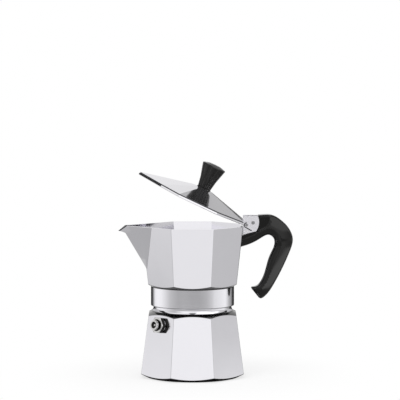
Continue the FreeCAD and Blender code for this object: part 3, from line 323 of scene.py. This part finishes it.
finishes = {
    "boiler": polishedCasting("boilerMetal", boilerLook),
    "lid": polishedCasting("lidMetal", lightenedLidLook),
    "collector": polishedCasting("collectorMetal", collectorLook),
    "funnel": turnedMetal("spunFunnel", funnelLook),
    "funnel_strainer": turnedMetal("strainerMetal", funnelLook),
    "filter_plate": turnedMetal("plateMetal", plateLook),
    "gasket": mouldedResin("gasketRubber", gasketLook),
    "handle": mouldedResin("handleResin", resinLook),
    "knob": mouldedResin("knobResin", knobLook),
    "valve_body": shadedValve("valveShaded", valveLook),
}
finishes["valve_seat"] = finishes["valve_stem"] = finishes["valve_body"]
finishes["knob_washer"] = finishes["knob"]
pinSteel = polishedCasting("pinSteel", steelLook)
for name, node in nodes.items():
    node.data.materials.clear()
    node.data.materials.append(finishes.get(name, pinSteel))
print("finishes assigned:", len(nodes))


def gridFaces(rows, columns):
    index = np.arange(rows * columns).reshape(rows, columns)
    corners = [index[:-1, :-1], index[1:, :-1], index[1:, 1:], index[:-1, 1:]]
    return np.stack(corners, axis=-1).reshape(-1, 4)


def newPiece(name, places, faces, material, normals=None):
    mesh = bpy.data.meshes.new(name)
    mesh.from_pydata(places.tolist(), [], faces)
    if normals is not None:
        mesh.polygons.foreach_set("use_smooth", np.ones(len(mesh.polygons), dtype=bool))
        mesh.normals_split_custom_set(normals.tolist())
    mesh.materials.append(material)
    piece = bpy.data.objects.new(name, mesh)
    scene.collection.objects.link(piece)
    return piece


# Thread on the boiler's neck: a low ridge that winds up the cylinder, thinning out at both ends.
# Its section is given by places across, as shares of the half width, and out, as shares of the height.
thread = {
    "radius": 0.0318, "low": 0.0612, "high": 0.0666, "pitch": 0.0019, "height": 0.00032, "halfWidth": 0.0007,
    "across": (-1.0, -0.35, 0.35, 1.0), "out": (-0.15, 1.0, 1.0, -0.15), "stepsPerTurn": 160, "runOut": 0.35,
    "leastWidth": 0.05,
}


def addThread():
    turns = (thread["high"] - thread["low"]) / thread["pitch"]
    along = np.linspace(0.0, turns, int(turns * thread["stepsPerTurn"]) + 1)[:, None]
    fade = np.clip(np.minimum(along, turns - along) / thread["runOut"], 0.0, 1.0)
    across = np.array(thread["across"]) * thread["halfWidth"]
    out = np.array(thread["out"]) * thread["height"]
    # radius = neck + out * fade, with the feet left in the wall; angle = a full circle for each turn;
    # height = low + pitch * turns + across * fade
    radius = thread["radius"] + np.where(out > 0, out * fade, out)
    height = thread["low"] + along * thread["pitch"] + across * np.maximum(fade, thread["leastWidth"])
    angle = np.broadcast_to(2 * math.pi * along, radius.shape)
    places = np.stack([radius * np.cos(angle), radius * np.sin(angle), height], axis=-1).reshape(-1, 3)
    ridge = newPiece("neck_thread", places, gridFaces(*radius.shape).tolist(), finishes["boiler"])
    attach(ridge, "boiler")


addThread()
print("thread added")


# Spout: each side runs on over the corner of the pot to a seam on the next facet. A thin skin on that facet,
# straight-ruled between the seam and the corner, is shaded as the flat side from the seam's top and the keel.
fold = {
    "drop": 0.0378, "root": 0.0344, "keelTop": 0.0612, "keelFoot": 0.03896, "lift": 0.00007,
    "across": 12, "down": 48,
}


def addSpoutSides():
    across = np.linspace(0.0, 1.0, fold["across"])[None, :, None]
    down = np.linspace(0.0, 1.0, fold["down"])[:, None, None]
    # On an octagon a corner lies tan(22.5 degrees) * half width beside its flat, and the slanted facet has
    # x + y = sqrt(2) * half width. Both lines are straight from the rim to the corner at the spout's foot.
    halves = np.array([pot["rimHalf"], pot["rimHalf"] - pot["wallLean"] * fold["drop"]])
    cornerTop, foot = halves[:, None] * (1.0, math.tan(math.pi / 8))
    seamTop = np.array([fold["root"], math.sqrt(2) * halves[0] - fold["root"]])
    # place = seam line * (1 - across) + corner line * across, lifted off the facet
    seamLine, cornerLine = [top + (foot - top) * down for top in (seamTop, cornerTop)]
    plan = seamLine * (1 - across) + cornerLine * across + fold["lift"] * math.sqrt(0.5)
    height = pot["rimHeight"] - fold["drop"] * down + 0 * across
    side = np.concatenate([plan, height], axis=-1).reshape(-1, 3)
    keel = (fold["keelFoot"] - fold["keelTop"], 0.0, -fold["drop"])
    facing = np.cross((fold["keelTop"] - seamTop[0], -seamTop[1], 0.0), keel)
    facing /= np.linalg.norm(facing)
    quads = gridFaces(fold["down"], fold["across"])
    left, right = np.array([-1.0, -1.0, 1.0]), np.array([-1.0, 1.0, 1.0])
    places = np.concatenate([side * right, side * left])
    faces = np.concatenate([quads, quads[:, ::-1] + len(side)])
    normals = np.repeat([facing * right, facing * left], quads.size, axis=0)
    made = newPiece("spout_sides", places, faces.tolist(), finishes["collector"], normals)
    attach(made, "collector")
    print("spout faces:", len(faces))


addSpoutSides()


# Handle: the solid's side outline, with crowned sides, rounded edges and a set-back cheek by the lug.
# Outline places are shares of the reach and the drop, measured from the lug's crown.
grip = {
    "crown": (0.0557, 0.137174), "reach": 0.0298, "drop": 0.0717, "gap": 0.00015, "proud": 0.0007,
    "back": [(0.2, -0.015), (0.36, -0.013), (0.5, 0.007), (0.63, 0.042), (0.885, 0.148), (1.0, 0.273),
             (0.913, 0.427), (0.685, 0.64), (0.456, 0.819), (0.2, 0.961), (0.07, 1.0)],
    "inside": [(-0.223, 0.847), (-0.04, 0.838), (0.084, 0.786), (0.209, 0.664), (0.36, 0.463), (0.48, 0.332),
               (0.43, 0.255), (0.315, 0.226), (0.114, 0.257), (-0.17, 0.324)],
    "cheek": [(-0.03, 0.185), (0.185, 0.149), (0.329, 0.09), (0.345, 0.031)],
    "cheekReach": (-0.04, 0.02), "setBack": 0.002, "setSoft": 0.0007,
    "wallShares": (0.37, 0.232), "chin": (-0.00155, 0.124224), "seatRadius": 0.01375, "toeRound": 0.0028,
    "halfWidth": 0.008, "edge": 0.0018, "outerFall": 0.0044, "outerRun": 0.0105, "innerFall": 0.003,
    "innerRun": 0.0062, "bend": 1.5,
    "tongue": [(0.0487, 0.12492), (0.0601, 0.12492), (0.0601, 0.13657), (0.0517, 0.13657), (0.0487, 0.12962)],
    "tongueHalf": 0.00415,
    # How fine the mesh is: point spacing, steps on the seat and a corner, degrees between the edge's rows,
    # least share of a row's depth, grid pitch and slope step as shares of the spacing, steepest lean of the
    # edge, distance at which points merge, least divisor
    "spacing": 0.0007, "seatSteps": 24, "cornerSteps": 9, "edgeTurn": 12, "rowShare": 0.98, "gridPitch": 1.4,
    "slopeStep": 0.05, "steepest": 0.9999995, "merge": 1e-7, "tiny": 1e-18,
}


def smoothCurve(points):
    # Natural cubic through the points, by chord length: second slopes from one linear system
    points = np.asarray(points, float)
    knots = np.concatenate([[0.0], np.cumsum(np.linalg.norm(np.diff(points, axis=0), axis=1))])
    lengths = np.diff(knots)
    rises = np.diff(points, axis=0) / lengths[:, None]
    count = len(points)
    middle = np.arange(1, count - 1)
    system = np.eye(count)
    system[middle, middle - 1] = lengths[:-1]
    system[middle, middle] = 2 * (lengths[:-1] + lengths[1:])
    system[middle, middle + 1] = lengths[1:]
    target = np.zeros_like(points)
    target[middle] = 6 * np.diff(rises, axis=0)
    bend = np.linalg.solve(system, target)
    at = np.linspace(0.0, knots[-1], max(2, int(knots[-1] / grip["spacing"])))
    part = np.clip(np.searchsorted(knots, at) - 1, 0, count - 2)
    length = lengths[part][:, None]
    ahead = (knots[part + 1] - at)[:, None]
    done = (at - knots[part])[:, None]
    cubic = (bend[part] * ahead ** 3 + bend[part + 1] * done ** 3) / (6 * length)
    return cubic + (points[part] / length - bend[part] * length / 6) * ahead \
        + (points[part + 1] / length - bend[part + 1] * length / 6) * done


def straight(start, end):
    count = max(2, int(np.linalg.norm(np.subtract(end, start)) / grip["spacing"]))
    return np.asarray(start) + np.linspace(0.0, 1.0, count)[:, None] * np.subtract(end, start)


def roundCorner(before, corner, after):
    # Points on the curve that runs from one leg to the other, tangent to both
    start, end = [corner + (leg - corner) / np.linalg.norm(leg - corner) * grip["toeRound"]
                  for leg in (before, after)]
    share = np.linspace(0.0, 1.0, grip["cornerSteps"])[:, None]
    return start * (1 - share) ** 2 + corner * 2 * share * (1 - share) + end * share ** 2


def nearestOn(points, line):
    # Nearest places on a chain of straight pieces, and how far off they are
    start = line[:-1]
    run = np.diff(line, axis=0)
    share = ((points[:, None] - start) * run).sum(-1) / np.maximum((run * run).sum(-1), grip["tiny"])
    near = start + np.clip(share, 0.0, 1.0)[..., None] * run
    gaps = np.linalg.norm(points[:, None] - near, axis=-1)
    pick = np.arange(len(points)), gaps.argmin(1)
    return near[pick], gaps[pick]


def isInside(points, ring):
    # A point is inside when a level line from it crosses the ring an odd number of times
    run = np.roll(ring, -1, axis=0) - ring
    rise = points[:, None, 1] - ring[:, 1]
    spans = (rise < 0) != (rise < run[:, 1])
    cross = ring[:, 0] + rise / (run[:, 1] + grip["tiny"]) * run[:, 0]
    return (spans & (points[:, None, 0] < cross)).sum(1) % 2 == 1


def gripOutline():
    crown = np.array(grip["crown"])
    scale = np.array([grip["reach"], -grip["drop"]])
    gap = grip["gap"]
    backLine, insideLine, cheekLine = [crown + scale * grip[line] for line in ("back", "inside", "cheek")]
    back = smoothCurve([crown + (gap, grip["proud"]), *backLine])
    low, high = [(pot["rimHalf"] - pot["wallLean"] * (pot["rimHeight"] - z) + gap, z)
                 for z in (crown[1] - grip["drop"] * share for share in grip["wallShares"])]
    inner = smoothCurve([*insideLine, low])
    # The seat is an arc round the lug's end, from its chin to its crown
    chin = np.array([crown[0] + grip["chin"][0], grip["chin"][1]])
    top = crown + (gap, 0.0)
    chord = top - chin
    half = np.linalg.norm(chord) / 2
    outward = np.array([chord[1], -chord[0]]) / (2 * half)
    centre = (top + chin) / 2 - outward * math.sqrt(grip["seatRadius"] ** 2 - half ** 2)
    first, last = [math.atan2(*(point - centre)[::-1]) for point in (chin, top)]
    turn = np.linspace(first, last, grip["seatSteps"])
    seat = centre + grip["seatRadius"] * np.stack([np.cos(turn), np.sin(turn)], axis=-1)
    keep = np.linalg.norm(back - back[-1], axis=1) > grip["toeRound"]
    hold = np.linalg.norm(inner - inner[0], axis=1) > grip["toeRound"]
    heel = roundCorner(back[keep][-1], back[-1], inner[0])
    toe = roundCorner(back[-1], inner[0], inner[hold][0])
    outer = np.concatenate([back[keep], heel, straight(heel[-1], toe[0])[1:-1], toe])
    ends = np.concatenate([straight(low, high)[1:], straight(high, chin)[1:], seat[1:]])
    return outer, np.concatenate([outer[-1:], inner[hold]]), ends, smoothCurve(cheekLine)


def gripHalf(points, outer, inner, cheek):
    # Half width = full half width - fall towards the outer or the inner edge, or the set-back beside the lug
    outerGap = nearestOn(points, outer)[1]
    innerGap = nearestOn(points, inner)[1]
    outerFall = grip["outerFall"] * np.clip(1 - outerGap / grip["outerRun"], 0, 1) ** grip["bend"]
    innerFall = grip["innerFall"] * np.clip(1 - innerGap / grip["innerRun"], 0, 1) ** grip["bend"]
    left, top = np.array(grip["crown"]) + grip["cheekReach"]
    corners = [[cheek[-1, 0], top], [left, top], [left, cheek[0, 1]]]
    side = np.where(isInside(points, np.concatenate([cheek, corners])), 1.0, -1.0)
    side *= nearestOn(points, np.concatenate([cheek, corners[:1]]))[1]
    blend = np.clip(side / (2 * grip["setSoft"]) + 0.5, 0.0, 1.0)
    blend *= blend * (3 - 2 * blend)
    return grip["halfWidth"] - np.maximum(outerFall, innerFall) * (1 - blend) - grip["setBack"] * blend


def gripPoints(ring, inward):
    # Rows of points that follow the rounded edge to just past its quarter turn, then a grid over the middle
    chain = np.concatenate([ring, ring[:1]])
    turns = range(grip["edgeTurn"], 90 + grip["edgeTurn"], grip["edgeTurn"])
    depths = [grip["edge"] * (1 - math.cos(math.radians(turn))) for turn in turns]
    rows = []
    for depth in depths:
        row = ring + inward * depth
        rows.append(row[isInside(row, ring) & (nearestOn(row, chain)[1] > depth * grip["rowShare"])])
    pitch = grip["spacing"] * grip["gridPitch"]
    axes = [np.arange(low, high, pitch) for low, high in zip(ring.min(0), ring.max(0))]
    middle = np.stack(np.meshgrid(*axes), axis=-1).reshape(-1, 2)
    middle = middle[isInside(middle, ring)]
    middle = middle[nearestOn(middle, chain)[1] > depths[-1] + pitch / 2]
    return np.concatenate([ring] + rows + [middle])


def gripSide(flat, inward, outer, inner, cheek):
    # The edge is a quarter round: its drop and its slope follow from the distance to the edge.
    # The normal leans against the slope of the half width.
    count = len(inward)
    near, gap = nearestOn(flat, np.concatenate([outer, inner[1:]]))
    away = (flat - near) / np.maximum(gap, grip["tiny"])[:, None]
    away[:count] = np.where(gap[:count, None] < grip["merge"], inward, away[:count])
    lean = np.clip(1 - gap / grip["edge"], 0.0, grip["steepest"])
    level = np.sqrt(1 - lean ** 2)
    half = gripHalf(flat, outer, inner, cheek) - grip["edge"] * (1 - level)
    step = grip["spacing"] * grip["slopeStep"]
    slopes = [gripHalf(flat + shift, outer, inner, cheek) - gripHalf(flat - shift, outer, inner, cheek)
              for shift in np.eye(2) * step]
    slope = np.stack(slopes, axis=-1) / (2 * step) + away * (lean / level)[:, None]
    facing = np.stack([-slope[:, 0], -np.ones(len(flat)), -slope[:, 1]], axis=-1)
    return half, facing / np.linalg.norm(facing, axis=1)[:, None]


def gripTongue(first):
    # A flat block between the lug's cheeks, with its points numbered from the first
    tongue = np.array(grip["tongue"])
    size = len(tongue)
    here = np.arange(size)
    after = np.roll(here, -1)
    front = np.stack([tongue[:, 0], np.full(size, -grip["tongueHalf"]), tongue[:, 1]], axis=-1)
    run = tongue[after] - tongue
    run /= np.linalg.norm(run, axis=1)[:, None]
    outward = np.stack([run[:, 1], np.zeros(size), -run[:, 0]], axis=-1)
    walls = first + np.stack([here, size + here, size + after, after], axis=-1)
    faces = [(first + here).tolist(), (first + size + here[::-1]).tolist()] + walls.tolist()
    caps = np.repeat([(0.0, -1.0, 0.0), (0.0, 1.0, 0.0)], size, axis=0)
    normals = np.concatenate([caps, np.repeat(outward, 4, axis=0)])
    return np.concatenate([front, front * (1.0, -1.0, 1.0)]), faces, normals


def addHandle():
    outer, inner, ends, cheek = gripOutline()
    ring = np.concatenate([outer, inner[1:], ends])
    here = np.arange(len(ring))
    after = np.roll(here, -1)
    tangent = ring[after] - np.roll(ring, 1, axis=0)
    tangent /= np.linalg.norm(tangent, axis=1)[:, None]
    inward = np.stack([tangent[:, 1], -tangent[:, 0]], axis=-1)
    border = np.stack([here, after], axis=-1)
    found = delaunay_2d_cdt(gripPoints(ring, inward).tolist(), border.tolist(), [], 1, grip["merge"])
    flat, front = np.array(found[0]), np.array(found[2])

    # Two mirrored sides, the rim between them and the tongue, with a normal for each corner of each face
    half, facing = gripSide(flat, inward, outer, inner, cheek)
    rim = np.stack([-inward[:, 0], np.zeros(len(ring)), -inward[:, 1]], axis=-1)
    total = len(flat)
    mirror = np.array([1.0, -1.0, 1.0])
    side = np.stack([flat[:, 0], -half, flat[:, 1]], axis=-1)
    back = front[:, ::-1]
    walls = np.stack([here, after, total + after, total + here], axis=-1)
    tonguePlaces, tongueFaces, tongueNormals = gripTongue(2 * total)
    places = np.concatenate([side, side * mirror, tonguePlaces])
    faces = front.tolist() + (total + back).tolist() + walls.tolist() + tongueFaces
    corners = [facing[front], facing[back] * mirror, rim[np.stack([here, after, after, here], axis=-1)]]
    normals = np.concatenate([corner.reshape(-1, 3) for corner in corners] + [tongueNormals])
    made = newPiece("handle_grip", places, faces, finishes["handle"], normals)
    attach(made, "collector")
    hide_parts("handle")
    print("handle faces:", len(faces))


addHandle()


# Studio: a pale floor that keeps the shadow, and a plain soft surround
studio = {
    "floorSize": 6.0, "floorColour": 0.9, "floorWhite": 0.72, "whiteFrom": 0.055, "whiteTo": 0.16,
    "mirrorFrom": 0.046, "mirrorTo": 0.054, "shade": 0.02, "surround": 0.85, "lampAim": (0.0, 0.0, 0.1),
    "keyPower": 9.0, "keySize": 0.9, "keyPlace": (-0.9, -1.0, 1.5),
    "fillPower": 4.0, "fillSize": 1.2, "fillPlace": (1.4, -0.7, 0.9),
    # What the metal sees: (degrees from the front, level), left is negative
    "walls": [(-180, 0.86), (-170, 0.8), (-155, 0.6), (-139, 0.5), (-120, 0.62), (-105, 0.8), (-90, 0.84),
              (-70, 0.62), (-56, 0.55), (-42, 0.75), (-26, 1.06), (0, 0.99), (24, 1.08), (40, 1.0),
              (58, 0.64), (90, 0.643), (120, 0.6), (139, 0.55), (156, 0.44), (165, 0.5), (174, 0.82),
              (180, 0.86)],
    "lowLevel": 0.92, "lowFrom": (0.12, 0.18),
    "horizon": [(-180, 0.03), (-166, 0.03), (-149, 0.03), (-141, 0.2), (-135, 0.48), (-127, 0.95),
                (-112, 1.05), (-96, 1.0), (-80, 0.82), (-64, 0.6), (-40, 0.44), (0, 0.40), (20, 0.39),
                (40, 0.48), (56, 0.68), (64, 0.84), (80, 0.92), (104, 1.02), (112, 0.8), (120, 0.55),
                (130, 0.4), (137, 0.33), (143, 0.06), (156, 0.03), (166, 0.03), (180, 0.03)],
    "horizonHeights": (-0.14, -0.005, 0.05),
    "overheadFront": 0.95, "overheadBack": 0.28, "overheadTurn": (-0.1, 0.25), "overheadFrom": (0.55, 0.78),
    "below": 0.5, "belowFrom": (0.3, 0.55),
    # Patches: angles, heights (each low, high, soft) and level; dark flags on the left and high in front,
    # soft boxes on the right
    "patches": [((-118.0, -97.0, 3.0), (0.28, 0.72, 0.05), 0.02),
                ((-150.0, -95.0, 4.0), (-0.7, -0.27, 0.05), 0.47),
                ((24.0, 84.0, 12.0), (0.42, 0.85, 0.1), 1.7),
                ((34.0, 84.0, 9.0), (-0.53, -0.385, 0.03), 2.1),
                ((-8.0, 8.0, 9.0), (0.66, 0.97, 0.06), 0.2)],
}


# The camera sees paper that fades to white away from the pot. The metal sees only a dark disc under it, a
# painted shadow.
def addFloor():
    material, paint = newMaterial("floorPaper")
    away = paint.vector("LENGTH", paint.place(), output="Value")
    ray = paint.add("ShaderNodeLightPath", output="Is Camera Ray")
    shine = paint.add("ShaderNodeLightPath", output="Is Glossy Ray")
    far = paint.step(away, studio["whiteFrom"], studio["whiteTo"])
    share = far * (1.0 - studio["floorWhite"]) + studio["floorWhite"]
    lit = paint.add("ShaderNodeBsdfDiffuse", None, {"Color": grey(studio["floorColour"])})
    white = paint.add("ShaderNodeEmission", None, {"Color": grey(1.0), "Strength": 1.0})
    pale = paint.add("ShaderNodeMixShader", None, {0: ray * share, 1: lit, 2: white})
    # Painted shadow: the dark disc that glossy rays see under the pot
    shadowDisc = paint.add("ShaderNodeEmission", None, {"Color": grey(studio["shade"]), "Strength": 1.0})
    clear = paint.add("ShaderNodeBsdfTransparent", None, {"Color": grey(1.0)})
    mirrored = paint.add("ShaderNodeMixShader", None, {
        0: paint.step(away, studio["mirrorFrom"], studio["mirrorTo"]), 1: shadowDisc, 2: clear})
    paint.finish(paint.add("ShaderNodeMixShader", None, {0: shine, 1: pale, 2: mirrored}))
    corners = np.array([(-1, -1, 0), (1, -1, 0), (1, 1, 0), (-1, 1, 0)]) * studio["floorSize"] / 2
    floor = newPiece("floor", corners, [(0, 1, 2, 3)], material)


def wheel(paint, share, tones):
    stops = [(angle / 360.0 + 0.5, grey(level)) for angle, level in tones]
    return paint.add("ShaderNodeValToRGB", {"stops": stops}, {"Fac": share})


# Seen in the metal, the walls are white in front and greyer at the sides, a low horizon is grey in front
# and white at the sides with dark edges behind, and overhead it is light in front and dark behind
def addSurround():
    world = bpy.data.worlds.new("surround")
    scene.world = world
    paint = Shader(world)
    x, y, z = paint.split(paint.add("ShaderNodeTexCoord", output="Generated"))
    turn = x.maths("ARCTAN2", y * -1.0) * (180.0 / math.pi)
    share = turn / 360.0 + 0.5
    depth = z * -1.0
    walls = wheel(paint, share, studio["walls"])
    walls = paint.mix(paint.step(depth, *studio["lowFrom"]), walls, grey(studio["lowLevel"]), "MULTIPLY")
    low = paint.band(z, *studio["horizonHeights"])
    seen = paint.mix(low, walls, wheel(paint, share, studio["horizon"]))
    seen = paint.mix(paint.step(depth, *studio["belowFrom"]), seen, grey(studio["below"]))
    behind = paint.step(y, *studio["overheadTurn"])
    above = paint.mix(behind, grey(studio["overheadFront"]), grey(studio["overheadBack"]))
    seen = paint.mix(paint.step(z, *studio["overheadFrom"]), seen, above)
    for angles, heights, level in studio["patches"]:
        seen = paint.mix(paint.band(turn, *angles) * paint.band(z, *heights), seen, grey(level))
    ray = paint.add("ShaderNodeLightPath", output="Is Camera Ray")
    shine = paint.add("ShaderNodeLightPath", output="Is Glossy Ray")
    plain = paint.mix(ray, grey(studio["surround"]), grey(1.0))
    light = paint.add("ShaderNodeBackground", None, {"Color": paint.mix(shine, plain, seen), "Strength": 1.0})
    paint.finish(light, "ShaderNodeOutputWorld")


def aim(holder, place, target):
    holder.location = place
    holder.rotation_euler = (Vector(target) - Vector(place)).to_track_quat("-Z", "Y").to_euler()


def addLamp(name, place, size, power):
    lamp = bpy.data.lights.new(name, "AREA")
    lamp.size = size
    lamp.energy = power
    holder = bpy.data.objects.new(name, lamp)
    scene.collection.objects.link(holder)
    holder.visible_glossy = False
    aim(holder, place, studio["lampAim"])


addFloor()
addSurround()
addLamp("keyLamp", studio["keyPlace"], studio["keySize"], studio["keyPower"])
addLamp("fillLamp", studio["fillPlace"], studio["fillSize"], studio["fillPower"])
print("studio set")


# Camera: in front of the pot and a little above it, framed for the pieces when they are lifted apart
view = {"place": (0.0064, -1.785, 0.278), "target": (0.0064, 0.0, 0.1505), "lens": 189.0, "sensor": 36.0}


def addCamera():
    data = bpy.data.cameras.new("camera")
    data.lens = view["lens"]
    data.sensor_width = view["sensor"]
    camera = bpy.data.objects.new("camera", data)
    scene.collection.objects.link(camera)
    aim(camera, view["place"], view["target"])
    scene.camera = camera


addCamera()
scene.view_settings.view_transform = "Standard"
